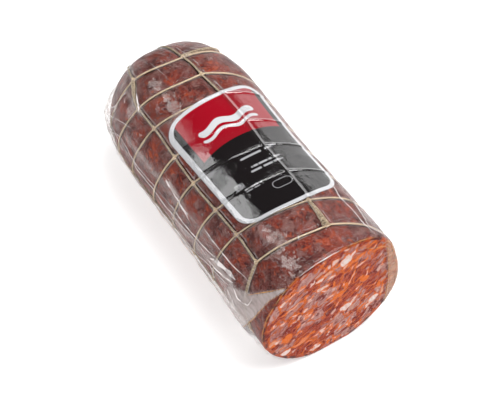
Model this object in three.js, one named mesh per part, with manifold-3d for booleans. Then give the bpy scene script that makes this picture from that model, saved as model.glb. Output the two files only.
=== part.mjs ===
// Half of a ventricina salami in its clear vacuum bag, lying on its side with the cut end towards +X.
// Millimetres, +Z up. A twine net of eight hoops and six lengthwise strings ties the meat,
// and a curved label lies on top of the net. The bag clings to the meat, so bag and meat are one solid.

import * as THREE from 'three';
import { mergeVertices } from 'three/addons/utils/BufferGeometryUtils.js';
import Module from 'manifold-3d';

const wasm = await Module();
wasm.setup();

// Driving sizes of the meat
const LENGTH = 231.9;         // far apex to the middle of the cut
const WIDTH = 105;
const HEIGHT = 98;
const ROUND_LENGTH = 97.7;    // how far the rounding of the far end reaches along the length
const ROUND_POWER = 3.48;     // 2 would be an ellipse, more is blunter
const SHOULDER = { from_apex: 62, reach: 35, swell: 0.008 };
const WAIST = { from_apex: 130, reach: 45, swell: -0.0206 };
const CUT_YAW = THREE.MathUtils.degToRad(-1.41);
const CUT_PITCH = THREE.MathUtils.degToRad(-0.93);
const SEAT = 0.8;             // how far its weight presses the underside flat
const SEAT_SOFTNESS = 0.8;    // how fast the layers pack together over the table

// Uneven section: share of the radius in each number of lobes round it, as [lobes, cosine, sine]
const LOBES = [[2, 0.0014, -0.0021], [3, -0.0119, 0.0029], [4, -0.0109, -0.008], [5, -0.0048, -0.0095],
  [6, 0.0038, -0.0042]];

// The net. Angles go round from +Y over the top, stations are distances from the cut.
const STRING_ANGLES = [15, 79, 136.5, 190, 245, 311];
const STRING_TURNS = [0, 2, -10, -4, 0, 0];         // how far each string swings on the far shoulder
const TURN = { from: 182, over: 22 };
const HOOP_DRIFT = [-13, 0, 6.5, 13, 9, -3];        // a hoop's station at each string, against the top string
const HOOPS = [
  { station: 21, drift: [-15, 0, 9, -5, -5, -9] },
  { station: 48.5, drift: [-13, -3.5, 6.5, 13, 9, -3] },
  { station: 73 },
  { station: 100 },
  { station: 124.5 },
  { station: 152 },
  { station: 174 },
  { station: 197, drift: [6, 0, 6.5, 11, 9, 7] },
];
const TWINE_HALF_WIDTH = 0.8;
const THICK_TWINE_HALF_WIDTH = 2.1;
const TOP_STRING = 1;
const END_KNOT = { radius: 3.4, half_height: 1.9, lift: 1.05 };

// Levels over the smooth form, outwards. The twine lies in grooves between pillows of meat.
const GROOVE = -1.25;
const PILLOW = 0.4;
const HOOP_TWINE = { inner: -0.92, side: -0.36, outer: 0.18 };
const STRING_TWINE = { inner: -0.88, side: -0.28, outer: 0.3 };
const LABEL_INNER = 0.85;
const LABEL_OUTER = 1.35;
const RIM = { width: 1.1, level: -0.7 };            // the cut's softened edge

// Loose film: it stands off the low left flank and gathers on the far left shoulder
const SKIRT = { station: 80, reach: 75, angle: 218, spread: 24, height: 3.2 };
const GATHER = { station: 216, reach: 9, angle: 177, spread: 24, height: 3.2 };
const FAR_DENT = { station: 212, reach: 14, angle: 158, spread: 26, height: -2.2 };

// The label. Its ends are slanted and bowed, and towards the far end it reaches further down its left side.
const LABEL = { length: 107, middle: 88.5, half_angle: 40, left_flare: 4.4, corner: 12 };
const LABEL_NEAR = { station: 46, slant: 1.4, bow: 3.4 };
const LABEL_FAR = { station: 153, slant: -1.9, bow: -2.3 };
const MM_PER_DEGREE = 0.88;
const LABEL_COLUMNS = 12;
const LABEL_CORNER_STEPS = [0, 0.07, 0.28, 0.6];    // shares of the corner's radius
const LABEL_BANDS = 6;

// How finely the meat is divided
const GROOVE_EDGE = 3;
const EDGE_RISE = 0.8;
const FIRST_ROUND_HOOP = 6;                         // from here the strings bend with the far rounding
const MIDS_ALONG = [1 / 3, 2 / 3];
const MIDS_ROUND = [0.2, 0.5, 0.8];
const END_SHRINK = [0.09, 0.22, 0.38, 0.56, 0.78];  // rows on the far end, as shares of its radius lost

const rad = THREE.MathUtils.degToRad;
const mix = THREE.MathUtils.lerp;

function bell(distance, reach) {
  return Math.exp(-((distance / reach) ** 2));
}

// Section of the meat at an angle in degrees, about its own middle
function sectionPoint(angle) {
  const t = rad(angle);
  let share = 1;
  for (const [lobes, cosine, sine] of LOBES) {
    share += cosine * Math.cos(lobes * t) + sine * Math.sin(lobes * t);
  }
  return new THREE.Vector2(WIDTH / 2 * share * Math.cos(t), HEIGHT / 2 * share * Math.sin(t));
}

function sectionNormal(angle) {
  const along = sectionPoint(angle + 0.5).sub(sectionPoint(angle - 0.5));
  return new THREE.Vector2(along.y, -along.x).normalize();
}

function sectionDepth() {
  let lowest = 0;
  for (let angle = 180; angle < 360; angle += 1) {
    lowest = Math.min(lowest, sectionPoint(angle).y);
  }
  return -lowest;
}

const DEPTH = sectionDepth();

function girth(x) {
  return 1 + SHOULDER.swell * bell(x - SHOULDER.from_apex, SHOULDER.reach)
    + WAIST.swell * bell(x - WAIST.from_apex, WAIST.reach);
}

function roundShare(x) {
  const left = THREE.MathUtils.clamp((ROUND_LENGTH - x) / ROUND_LENGTH, 0, 1);
  return (1 - left ** ROUND_POWER) ** (1 / ROUND_POWER);
}

// Distance from the apex at which the rounding has a given share of the full radius
function roundStation(share) {
  return ROUND_LENGTH * (1 - (1 - share ** ROUND_POWER) ** (1 / ROUND_POWER));
}

// A point of the smooth form and its outward direction; x counts from the far apex
function surface(x, angle) {
  const size = girth(x);
  const share = roundShare(x);
  const edge = sectionPoint(angle);
  const out = sectionNormal(angle);
  const left = THREE.MathUtils.clamp((ROUND_LENGTH - x) / ROUND_LENGTH, 0, 1);
  const across = share ** (ROUND_POWER - 1) / (edge.dot(out) * size);
  const point = new THREE.Vector3(x, edge.x * size * share, DEPTH * size + edge.y * size * share);
  const along = -(left ** (ROUND_POWER - 1)) / ROUND_LENGTH;
  return { point, normal: new THREE.Vector3(along, out.x * across, out.y * across).normalize() };
}

// Presses a point flat over the table, then leans it with the cut
function settle(point, level) {
  const share = THREE.MathUtils.clamp((point.x - ROUND_LENGTH) / (LENGTH - ROUND_LENGTH), 0, 1);
  const lean = Math.tan(CUT_YAW) * point.y + Math.tan(CUT_PITCH) * (point.z - DEPTH);
  const height = Math.max(point.z - SEAT, SEAT_SOFTNESS * (PILLOW - Math.min(level, PILLOW)));
  return new THREE.Vector3(point.x + share * lean - LENGTH / 2, point.y, height);
}

function lifted(place, level) {
  const { point, normal } = surface(place.x, place.angle);
  return settle(point.addScaledVector(normal, level), level);
}

// Columns of the meat: one on each string, one on each side of it, and three between
function makeColumns() {
  const columns = [];
  const count = STRING_ANGLES.length;
  for (let string = 0; string < count; string += 1) {
    const next = (string + 1) % count;
    const start = STRING_ANGLES[string];
    const span = (STRING_ANGLES[next] - start + 360) % 360;
    const edge = GROOVE_EDGE / MM_PER_DEGREE / span;
    const shares = [0, edge, ...MIDS_ROUND.map((share) => mix(edge, 1 - edge, share)), 1 - edge];
    const rises = [0, EDGE_RISE, ...MIDS_ROUND.map(() => 1), EDGE_RISE];
    shares.forEach((share, i) => {
      columns.push({ string, next, share, angle: start + span * share, rise: rises[i] });
    });
  }
  return columns;
}

const COLUMNS = makeColumns();

function hoopStation(hoop, column) {
  const { station, drift = HOOP_DRIFT } = HOOPS[hoop];
  return station + mix(drift[column.string], drift[column.next], column.share);
}

// Rows of the meat: each gives its station at a column, and how far the pillows have risen there
function makeRows() {
  const rows = [
    { rise: 0, station: () => 0, rim: true },
    { rise: EDGE_RISE, station: () => RIM.width },
  ];
  HOOPS.forEach((_, hoop) => {
    const before = (column) => (hoop === 0 ? RIM.width : hoopStation(hoop - 1, column) + GROOVE_EDGE);
    const after = (column) => hoopStation(hoop, column) - GROOVE_EDGE;
    if (hoop > 0) {
      rows.push({ rise: EDGE_RISE, station: before });
    }
    const round = hoop >= FIRST_ROUND_HOOP;
    for (const share of hoop === 0 ? [0.5] : MIDS_ALONG) {
      rows.push({ rise: 1, round, station: (column) => mix(before(column), after(column), share) });
    }
    rows.push({ rise: EDGE_RISE, station: after });
    rows.push({ rise: 0, hoop, station: (column) => hoopStation(hoop, column) });
  });
  const last = HOOPS.length - 1;
  const shoulder = (column) => LENGTH - hoopStation(last, column) - GROOVE_EDGE;
  rows.push({ rise: EDGE_RISE, station: (column) => LENGTH - shoulder(column) });
  for (const lost of END_SHRINK) {
    const station = (column) => LENGTH - roundStation(roundShare(shoulder(column)) * (1 - lost));
    rows.push({ rise: 1, station, round: true });
  }
  return rows;
}

const ROWS = makeRows();

function placeOf(row, column) {
  const station = row.station(column);
  const turned = THREE.MathUtils.smoothstep(station, TURN.from, TURN.from + TURN.over);
  const turn = mix(STRING_TURNS[column.string], STRING_TURNS[column.next], column.share);
  return { x: LENGTH - station, angle: column.angle + turn * turned };
}

function bump(swelling, station, angle) {
  return swelling.height * bell(station - swelling.station, swelling.reach)
    * bell(angle - swelling.angle, swelling.spread);
}

function meatLevel(row, column) {
  if (row.rim) {
    return RIM.level;
  }
  const place = placeOf(row, column);
  const rise = row.rise * column.rise;
  let level = GROOVE + (PILLOW - GROOVE) * rise * roundShare(place.x);
  if (rise === 1) {
    for (const swelling of [SKIRT, GATHER, FAR_DENT]) {
      level += bump(swelling, LENGTH - place.x, place.angle) * roundShare(place.x);
    }
  }
  return level;
}

// Joins rings of points into a closed body; open ends are shut by a fan about the point given
function tube(rings, start, end) {
  const width = rings[0].length;
  const points = rings.flat();
  const faces = [];
  const count = start ? rings.length - 1 : rings.length;
  for (let i = 0; i < count; i += 1) {
    for (let j = 0; j < width; j += 1) {
      const a = i * width + j;
      const b = i * width + (j + 1) % width;
      const c = ((i + 1) % rings.length) * width + j;
      const d = ((i + 1) % rings.length) * width + (j + 1) % width;
      faces.push([a, d, b], [a, c, d]);
    }
  }
  if (start) {
    points.push(start, end);
    const base = (rings.length - 1) * width;
    for (let j = 0; j < width; j += 1) {
      faces.push([points.length - 2, j, (j + 1) % width]);
      faces.push([points.length - 1, base + (j + 1) % width, base + j]);
    }
  }
  return bodyGeometry(points, faces);
}

function bodyGeometry(points, faces) {
  const geometry = new THREE.BufferGeometry().setFromPoints(points);
  geometry.setIndex(faces.flat());
  return geometry;
}

function middle(points) {
  const sum = points.reduce((total, point) => total.add(point), new THREE.Vector3());
  return sum.divideScalar(points.length);
}

function meatGeometry() {
  const rings = ROWS.map((row) => COLUMNS.map((column) => {
    return lifted(placeOf(row, column), meatLevel(row, column));
  }));
  return tube(rings, middle(rings[0]), lifted({ x: 0, angle: 0 }, GROOVE));
}

// A cord along places of the meat: a five-sided section, its point down in the groove
function cordGeometry(places, halfWidths, levels, closed) {
  const frames = places.map((place) => surface(place.x, place.angle));
  const last = frames.length - 1;
  const rings = frames.map(({ point, normal }, i) => {
    const before = frames[closed ? (i + last) % (last + 1) : Math.max(i - 1, 0)].point;
    const after = frames[closed ? (i + 1) % (last + 1) : Math.min(i + 1, last)].point;
    const side = after.clone().sub(before).cross(normal).normalize();
    const half = halfWidths[i];
    const { inner, side: flank, outer } = levels;
    const section = [[0, inner], [half, flank], [half / 2, outer], [-half / 2, outer], [-half, flank]];
    return section.map(([across, level]) => {
      const corner = point.clone().addScaledVector(side, across).addScaledVector(normal, level);
      return settle(corner, level);
    });
  });
  return closed ? tube(rings) : tube(rings, middle(rings[0]), middle(rings[last]));
}

function hoopCord(hoop) {
  const row = ROWS.find((candidate) => candidate.hoop === hoop);
  const places = COLUMNS.map((column) => placeOf(row, column));
  return cordGeometry(places, places.map(() => TWINE_HALF_WIDTH), HOOP_TWINE, true);
}

// A lengthwise string from the hoop nearest the cut to the far apex. On the straight part its points are
// only those beside the hoops, and the top one is thick between its first two hoops.
function stringCord(string) {
  const column = COLUMNS.find((candidate) => candidate.string === string && candidate.share === 0);
  const first = ROWS.findIndex((row) => row.hoop === 0);
  const rows = ROWS.slice(first).filter((row) => row.rise < 1 || row.round);
  const places = rows.map((row) => placeOf(row, column));
  const thick = (i) => string === TOP_STRING && (i === 1 || i === 2);
  const widths = rows.map((_, i) => (thick(i) ? THICK_TWINE_HALF_WIDTH : TWINE_HALF_WIDTH));
  places.push({ x: 0, angle: places.at(-1).angle });
  widths.push(TWINE_HALF_WIDTH);
  return cordGeometry(places, widths, STRING_TWINE, false);
}

function endKnot() {
  const knot = new THREE.IcosahedronGeometry(END_KNOT.radius, 1);
  knot.scale(END_KNOT.half_height / END_KNOT.radius, 1, 1);
  const apex = lifted({ x: 0, angle: 0 }, END_KNOT.lift);
  return knot.translate(apex.x, apex.y, apex.z);
}

function toSolid(geometry) {
  const bare = geometry.clone();
  bare.deleteAttribute('normal');
  bare.deleteAttribute('uv');
  const merged = mergeVertices(bare);
  return new wasm.Manifold(new wasm.Mesh({
    numProp: 3,
    vertProperties: new Float32Array(merged.attributes.position.array),
    triVerts: new Uint32Array(merged.index.array),
  }));
}

function fromSolid(solid) {
  const { vertProperties, triVerts } = solid.getMesh();
  const geometry = new THREE.BufferGeometry();
  geometry.setAttribute('position', new THREE.BufferAttribute(vertProperties, 3));
  geometry.setIndex(new THREE.BufferAttribute(triVerts, 1));
  return geometry;
}

function netGeometry() {
  const cords = HOOPS.map((_, hoop) => hoopCord(hoop));
  STRING_ANGLES.forEach((_, string) => cords.push(stringCord(string)));
  cords.push(endKnot());
  return fromSolid(cords.map(toSolid).reduce((net, cord) => net.add(cord)));
}

// The label narrows round its corners; inset counts from its nearer end
function labelHalfAngle(inset) {
  const short = Math.max(LABEL.corner - inset, 0);
  const cut = LABEL.corner - Math.sqrt(LABEL.corner ** 2 - short ** 2);
  return LABEL.half_angle - cut / MM_PER_DEGREE;
}

function labelInsets() {
  const corner = LABEL_CORNER_STEPS.map((share) => share * LABEL.corner);
  const straight = [];
  for (let band = 0; band <= LABEL_BANDS; band += 1) {
    straight.push(mix(LABEL.corner, LABEL.length - LABEL.corner, band / LABEL_BANDS));
  }
  return [...corner, ...straight, ...corner.map((inset) => LABEL.length - inset).reverse()];
}

function labelEnd(end, across) {
  return end.station + end.slant * across + end.bow * across ** 2;
}

function labelPoint(inset, share, level) {
  const along = inset / LABEL.length;
  const across = share * labelHalfAngle(Math.min(inset, LABEL.length - inset)) / LABEL.half_angle;
  const station = mix(labelEnd(LABEL_NEAR, across), labelEnd(LABEL_FAR, across), along);
  const flare = LABEL.left_flare * Math.max(across, 0) * along;
  return lifted({ x: LENGTH - station, angle: LABEL.middle + LABEL.half_angle * across + flare }, level);
}

// Each row of points runs over the label's face one way and back along its underside
function labelGeometry() {
  const shares = [];
  for (let i = 0; i <= LABEL_COLUMNS; i += 1) {
    shares.push(2 * i / LABEL_COLUMNS - 1);
  }
  const rows = labelInsets();
  const width = shares.length;
  const points = [];
  for (const inset of rows) {
    shares.forEach((share) => points.push(labelPoint(inset, share, LABEL_OUTER)));
    [...shares].reverse().forEach((share) => points.push(labelPoint(inset, share, LABEL_INNER)));
  }
  const faces = [];
  const quad = (a, b, c, d) => faces.push([a, c, b], [a, d, c]);
  for (let i = 0; i < rows.length - 1; i += 1) {
    for (let j = 0; j < 2 * width; j += 1) {
      const next = (j + 1) % (2 * width);
      const base = 2 * width * i;
      quad(base + j, base + next, base + 2 * width + next, base + 2 * width + j);
    }
  }
  const last = 2 * width * (rows.length - 1);
  for (let j = 0; j < width - 1; j += 1) {
    const under = 2 * width - 1 - j;
    quad(j, under, under - 1, j + 1);
    quad(last + j, last + j + 1, last + under - 1, last + under);
  }
  return bodyGeometry(points, faces);
}

function addPiece(group, name, geometry, color, roughness) {
  geometry.computeVertexNormals();
  const mesh = new THREE.Mesh(geometry, new THREE.MeshStandardMaterial({ color, roughness, metalness: 0 }));
  mesh.name = name;
  group.add(mesh);
}

const salami = new THREE.Group();
addPiece(salami, 'bagged_salami', meatGeometry(), 0x6e2f27, 0.25);
addPiece(salami, 'twine', netGeometry(), 0xb9a58c, 0.8);
addPiece(salami, 'label', labelGeometry(), 0x9c1a20, 0.3);

// The origin is the middle of the whole's box, at table height
const box = new THREE.Box3().setFromObject(salami);
const centre = box.getCenter(new THREE.Vector3());
salami.position.set(-centre.x, -centre.y, -box.min.z);
salami.updateMatrixWorld(true);

export default salami;
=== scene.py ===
import math

import bmesh
import bpy
import numpy as np
from mathutils import Matrix, Vector, noise


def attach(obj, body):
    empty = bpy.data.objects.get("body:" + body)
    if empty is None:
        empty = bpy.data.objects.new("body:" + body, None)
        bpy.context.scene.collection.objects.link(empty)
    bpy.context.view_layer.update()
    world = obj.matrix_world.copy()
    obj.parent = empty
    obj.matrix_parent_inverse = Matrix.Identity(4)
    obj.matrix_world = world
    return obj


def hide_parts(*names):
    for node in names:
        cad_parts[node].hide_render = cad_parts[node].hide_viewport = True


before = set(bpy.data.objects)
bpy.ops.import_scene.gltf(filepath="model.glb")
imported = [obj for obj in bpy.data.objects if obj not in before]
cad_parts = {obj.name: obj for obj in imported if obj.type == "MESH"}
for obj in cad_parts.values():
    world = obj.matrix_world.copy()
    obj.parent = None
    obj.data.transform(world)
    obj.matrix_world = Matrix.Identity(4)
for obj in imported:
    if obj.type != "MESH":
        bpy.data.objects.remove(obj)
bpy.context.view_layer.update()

# All lengths are millimetres and all angles degrees until a piece is finished, which is in metres.
# A station is a distance from the cut along the meat; an angle goes round it from +Y over the top.
MM = 0.001
WELD = 0.01
WHITE = (1, 1, 1, 1)

# The meat's smooth form, as in the solids
LENGTH = 231.9
WIDTH = 105
HEIGHT = 98
ROUND_LENGTH = 97.7
ROUND_POWER = 3.48
SHOULDER = {"from_apex": 62, "reach": 35, "swell": 0.008}
WAIST = {"from_apex": 130, "reach": 45, "swell": -0.0206}
CUT_YAW = math.radians(-1.41)
CUT_PITCH = math.radians(-0.93)
LOBES = [(2, 0.0014, -0.0021), (3, -0.0119, 0.0029), (4, -0.0109, -0.008), (5, -0.0048, -0.0095),
         (6, 0.0038, -0.0042)]
SHIFT = (0.7375 - LENGTH / 2, 0.9013)
SEAT = 0.8
SEAT_SOFTNESS = 0.8
SEAT_LEVEL = 0.95
MM_PER_DEGREE = 0.88

# The net
STRING_ANGLES = [15, 79, 136.5, 190, 245, 311]
STRING_TURNS = [0, 2, -10, -4, 0, 0]
TURN = {"from": 182, "over": 22}
HOOP_DRIFT = [-13, 0, 6.5, 13, 9, -3]
HOOPS = [(21, [-15, 0, 9, -5, -5, -9]), (48.5, [-13, -3.5, 6.5, 13, 9, -3]), (73, HOOP_DRIFT),
         (100, HOOP_DRIFT), (124.5, HOOP_DRIFT), (152, HOOP_DRIFT), (174, HOOP_DRIFT),
         (197, [6, 0, 6.5, 11, 9, 7])]
HOOP_BOW = [-4, -1.5, 0, 0, 0, 0]           # how far a hoop bows towards the cut between two strings
STRING_WANDER = [[1, -1, 0.5, -0.5, 1, 0, -1, 0], [2, 0, -1, -0.5, -2, -0.5, 2, 1],
                 [1.5, -0.5, 0.5, 2, 1, -1, -0.5, 0], [0, 1, -1, 1, 0.5, -1, 0, 0],
                 [-1, 0.5, 1, 0, -1, 0.5, 0, 0], [0.5, -1, 0, 1, -0.5, 0.5, 1, 0]]
HOOP_CORD = {"radius": 0.72, "pitch": 3.4, "level": -0.38}
STRING_CORD = {"radius": 0.82, "pitch": 4.4, "level": -0.12}
WINDING_CORD = {"radius": 0.5, "pitch": 2.4}
GROOVE = -1.25
PILLOW = 0.4
CROWN = 0.25                                # extra height in the middle of a cell
CELL_EDGE = (2.3, 2.5)                      # how far from a hoop and from a string the skin is drawn in
CELL_MIDDLE = (8, 12)                       # the same for the crown
LUMP = 0.28                                 # height of the meat's large lumps
LUMP_SIZE = 9
SMALL_LUMP = 0.11
SMALL_LUMP_SIZE = 3.2
CUT_ROUNDING = 1.0                          # how far from the cut the meat and the film round over
CROWDING = 0.6                              # how strongly the fine grids gather round the cords

# Stretches where more cord is wound round the net, as places (station, angle), with the winding's
# reach at the start and at the end
THICK = [
    ([(44.5, 79.5), (34, 80), (21, 81.5)], 0.7, 2.2),
    ([(197.5, 81.5), (198.6, 62), (200.3, 43.5)], 1.1, 0.9),
    ([(203, 127), (190, 133.5), (177, 137)], 1.3, 0.8),
    ([(29.5, 138), (26.5, 150), (22.5, 166)], 0.8, 0.9),
]

# The label
LABEL = {"length": 107, "middle": 88.5, "half_angle": 40, "left_flare": 4.4, "corner": 12}
LABEL_NEAR = {"station": 46, "slant": 1.4, "bow": 3.4}
LABEL_FAR = {"station": 153, "slant": -1.9, "bow": -2.3}
LABEL_LEVEL = 0.8
LABEL_THICKNESS = 0.22
LABEL_GAP = 0.25                            # room between the label and the meat
NO_CEILING = 5                              # a level that the meat never reaches
LABEL_RISE = 0.5                            # where it lies over a hoop


def bell(distance, reach):
    return np.exp(-((distance / reach) ** 2))


def ease(value, low, high):
    share = np.clip((value - low) / (high - low), 0, 1)
    return share * share * (3 - 2 * share)


def blend(a, b, share):
    return a + (b - a) * share


def unit(vectors):
    return vectors / np.linalg.norm(vectors, axis=-1, keepdims=True)


def lumps(points, size, seed, octaves=2):
    """Smooth random numbers from about -1 to 1 at points, in lumps of a size along each axis."""
    spots = np.asarray(points) / np.asarray(size) + seed * 17.3
    return np.array([noise.fractal(Vector(spot), 1.0, 2.0, octaves) for spot in spots])


# The smooth form

def section(angle):
    turn = np.radians(angle)
    share = 1 + sum(c * np.cos(k * turn) + s * np.sin(k * turn) for k, c, s in LOBES)
    return np.stack([WIDTH / 2 * share * np.cos(turn), HEIGHT / 2 * share * np.sin(turn)], -1)


DEPTH = -section(np.arange(180, 361))[:, 1].min()


def girth(x):
    return (1 + SHOULDER["swell"] * bell(x - SHOULDER["from_apex"], SHOULDER["reach"])
            + WAIST["swell"] * bell(x - WAIST["from_apex"], WAIST["reach"]))


def round_share(x):
    left = np.clip((ROUND_LENGTH - x) / ROUND_LENGTH, 0, 1)
    return (1 - left ** ROUND_POWER) ** (1 / ROUND_POWER)


def surface(station, angle):
    """Points of the smooth form and their outward directions, before its weight settles it."""
    x = LENGTH - station
    size = girth(x)
    share = round_share(x)
    edge = section(angle)
    along = section(angle + 0.5) - section(angle - 0.5)
    out = unit(np.stack([along[:, 1], -along[:, 0]], -1))
    left = np.clip((ROUND_LENGTH - x) / ROUND_LENGTH, 0, 1)
    across = share ** (ROUND_POWER - 1) / ((edge * out).sum(-1) * size)
    point = np.stack([x, edge[:, 0] * size * share, DEPTH * size + edge[:, 1] * size * share], -1)
    tilt = -(left ** (ROUND_POWER - 1)) / ROUND_LENGTH
    return point, unit(np.stack([tilt, out[:, 0] * across, out[:, 1] * across], -1))


# A dent at the far end as station, reach, angle, spread and height
FAR_DENT = (212, 14, 158, 26, -2.2)


def bump_of(swellings, station, angle):
    return sum(height * bell(station - place, reach) * bell(angle - middle, spread)
               for place, reach, middle, spread, height in swellings)


def settle(point, level):
    """Presses points flat over the table, leans them with the cut and puts them in the frame."""
    x, y, z = point.T
    share = np.clip((x - ROUND_LENGTH) / (LENGTH - ROUND_LENGTH), 0, 1)
    lean = math.tan(CUT_YAW) * y + math.tan(CUT_PITCH) * (z - DEPTH)
    height = np.maximum(z - SEAT, SEAT_SOFTNESS * (SEAT_LEVEL - np.minimum(level, SEAT_LEVEL)))
    return np.stack([x + share * lean + SHIFT[0], y + SHIFT[1], height], -1)


def lifted(station, angle, level):
    point, normal = surface(station, angle)
    level = level + bump_of([FAR_DENT], station, angle)
    return settle(point + normal * np.reshape(level, (-1, 1)), level)


def even_stations():
    """Stations at even steps over the surface from the far apex to the cut, and its length."""
    x = ROUND_LENGTH * np.linspace(0, 1, 4001) ** 3
    x = np.append(x, np.linspace(ROUND_LENGTH, LENGTH, 500)[1:])
    steps = np.hypot(np.diff(x), np.diff(HEIGHT / 2 * round_share(x)))
    return np.append(0, np.cumsum(steps)), LENGTH - x


WAY, WAY_STATIONS = even_stations()


def station_at(share):
    """Station at a share of the way from the far apex to the cut."""
    return np.interp(share * WAY[-1], WAY, WAY_STATIONS)


def way_to(station):
    return np.interp(-station, -WAY_STATIONS, WAY)


# The net's lines

def between_strings(angle):
    """The string before each angle, the one after it, and the share of the way between them."""
    starts = np.array(STRING_ANGLES)
    angle = np.mod(angle - starts[0], 360) + starts[0]
    before = np.searchsorted(starts, angle, side="right") - 1
    after = (before + 1) % len(starts)
    span = np.mod(starts[after] - starts[before], 360)
    return before, after, (angle - starts[before]) / span


def turn_share(station):
    """0 where the strings run straight, and 1 where they have turned all the way."""
    return ease(station, TURN["from"], TURN["from"] + TURN["over"])


def over_top(angle):
    """Angles as they run from -60 over the top to 300."""
    return np.mod(angle + 60, 360) - 60


def turned(station, angle):
    before, after, share = between_strings(angle)
    turns = np.array(STRING_TURNS)
    return blend(turns[before], turns[after], share) * turn_share(station)


def hoop_station(hoop, angle):
    station, drift = HOOPS[hoop]
    drift = np.array(drift)
    before, after, share = between_strings(angle)
    bow = np.array(HOOP_BOW)[before] * np.sin(np.pi * share)
    return station + blend(drift[before], drift[after], share) + bow


def string_angle(string, station):
    wander = np.interp(station, [first for first, _ in HOOPS], STRING_WANDER[string])
    return STRING_ANGLES[string] + wander + STRING_TURNS[string] * turn_share(station)


def nearest(offsets):
    """Of each column of offsets, the one that is nearest to nothing."""
    offsets = np.array(offsets)
    return np.take_along_axis(offsets, np.abs(offsets).argmin(axis=0)[None], 0)[0]


def net_offsets(station, angle):
    """Offsets over the surface from the nearest hoop, away from the cut, and from the nearest string."""
    column = angle - turned(station, angle)
    hoops = nearest([station - hoop_station(hoop, column) for hoop in range(len(HOOPS))])
    reach = round_share(LENGTH - station) * MM_PER_DEGREE
    strings = nearest([(np.mod(angle - string_angle(string, station) + 180, 360) - 180) * reach
                       for string in range(len(STRING_ANGLES))])
    past_end = np.maximum(hoop_station(0, column) - station, 0)
    return hoops, np.hypot(strings, past_end) * np.where(strings < 0, -1, 1)


def net_distances(station, angle):
    hoops, strings = net_offsets(station, angle)
    return np.abs(hoops), np.abs(strings)


def net_shift(station, column):
    """How far the strings have wandered and turned from a column's even angle."""
    before, after, share = between_strings(column)
    shifts = np.stack([string_angle(string, station) - STRING_ANGLES[string]
                       for string in range(len(STRING_ANGLES))])
    each = np.arange(len(column))
    return blend(shifts[before, each], shifts[after, each], share)


def crowded(share):
    """Moves shares of a cell towards its ends, where the cords lie."""
    return share - CROWDING * np.sin(2 * np.pi * share) / (2 * np.pi)


def net_place(u, v):
    """Stations and angles of a grid whose lines follow the net and crowd round its cords."""
    starts = np.array(STRING_ANGLES)
    before, after, share = between_strings(starts[0] + 360 * u)
    column = starts[before] + np.mod(starts[after] - starts[before], 360) * crowded(share)
    inner = list(reversed(range(len(HOOPS))))
    even = np.array([0.0] + [way_to(HOOPS[hoop][0]) for hoop in inner] + [WAY[-1]])
    row = np.clip(np.searchsorted(even, v * WAY[-1], side="right") - 1, 0, len(even) - 2)
    share = crowded((v * WAY[-1] - even[row]) / (even[row + 1] - even[row]))
    marks = np.stack([np.zeros(len(u))] + [way_to(hoop_station(hoop, column)) for hoop in inner]
                     + [np.full(len(u), WAY[-1])])
    each = np.arange(len(u))
    station = np.interp(blend(marks[row, each], marks[row + 1, each], share), WAY, WAY_STATIONS)
    return station, column + net_shift(station, column)


# The label's outline

def label_end(end, share):
    """Station of one of the label's ends at shares across it, from -1 to 1."""
    return end["station"] + end["slant"] * share + end["bow"] * share ** 2


def label_outline(station, angle):
    """Distance outside the label's edge, less than nothing on the label."""
    length = LABEL["length"]
    reached = np.clip((station - LABEL_NEAR["station"]) / length, 0, 1)
    flare = LABEL["left_flare"] * reached * (angle > LABEL["middle"])
    share = (angle - LABEL["middle"]) / (LABEL["half_angle"] + flare)
    near, far = (label_end(end, np.clip(share, -1, 1)) for end in (LABEL_NEAR, LABEL_FAR))
    along = (station - near) * length / (far - near) - length / 2
    x = (np.abs(share) - 1) * LABEL["half_angle"] * MM_PER_DEGREE + LABEL["corner"]
    y = np.abs(along) - (length / 2 - LABEL["corner"])
    return np.hypot(np.maximum(x, 0), np.maximum(y, 0)) + np.minimum(np.maximum(x, y), 0) - LABEL["corner"]


def label_ridge(station, angle):
    """How far the label rises over the cords under it."""
    hoops, strings = net_distances(station, angle)
    return LABEL_RISE * np.maximum(bell(hoops, 0.95), 1.2 * bell(strings, 1.0))


# Levels over the smooth form

def between_cords(hoops, strings, reach):
    """1 in the middle of the net's cells and 0 at the cords, by the distances from them."""
    return (1 - bell(hoops, reach[0])) * (1 - bell(strings, reach[1]))


def pillowed(station, hoops, strings, low, high, rough):
    """A skin's level: low at the cords, and up to high with its roughness in the cells."""
    pillow = (high - low + rough) * between_cords(hoops, strings, CELL_EDGE)
    crown = CROWN * between_cords(hoops, strings, CELL_MIDDLE)
    return low + (pillow + crown) * round_share(LENGTH - station)


def meat_level(station, angle, points):
    rough = LUMP * lumps(points, LUMP_SIZE, 1) + SMALL_LUMP * lumps(points, SMALL_LUMP_SIZE, 2, 3)
    level = pillowed(station, *net_distances(station, angle), GROOVE, PILLOW, rough)
    under_label = ease(-label_outline(station, angle), -2, 2)
    level = np.minimum(level, blend(NO_CEILING, LABEL_LEVEL - LABEL_GAP, under_label))
    return level - 1.1 * bell(station, CUT_ROUNDING)


# Loose film: swellings as station, reach, angle, spread and height
SKIRTS = [(80, 75, 218, 24, 3.0), (216, 9, 177, 24, 3.4), (28, 22, 196, 26, 1.6)]
# Where the film is gathered and greasy, at the far left
GATHERED = (219, 9, 176, 22, 1.0)
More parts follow.
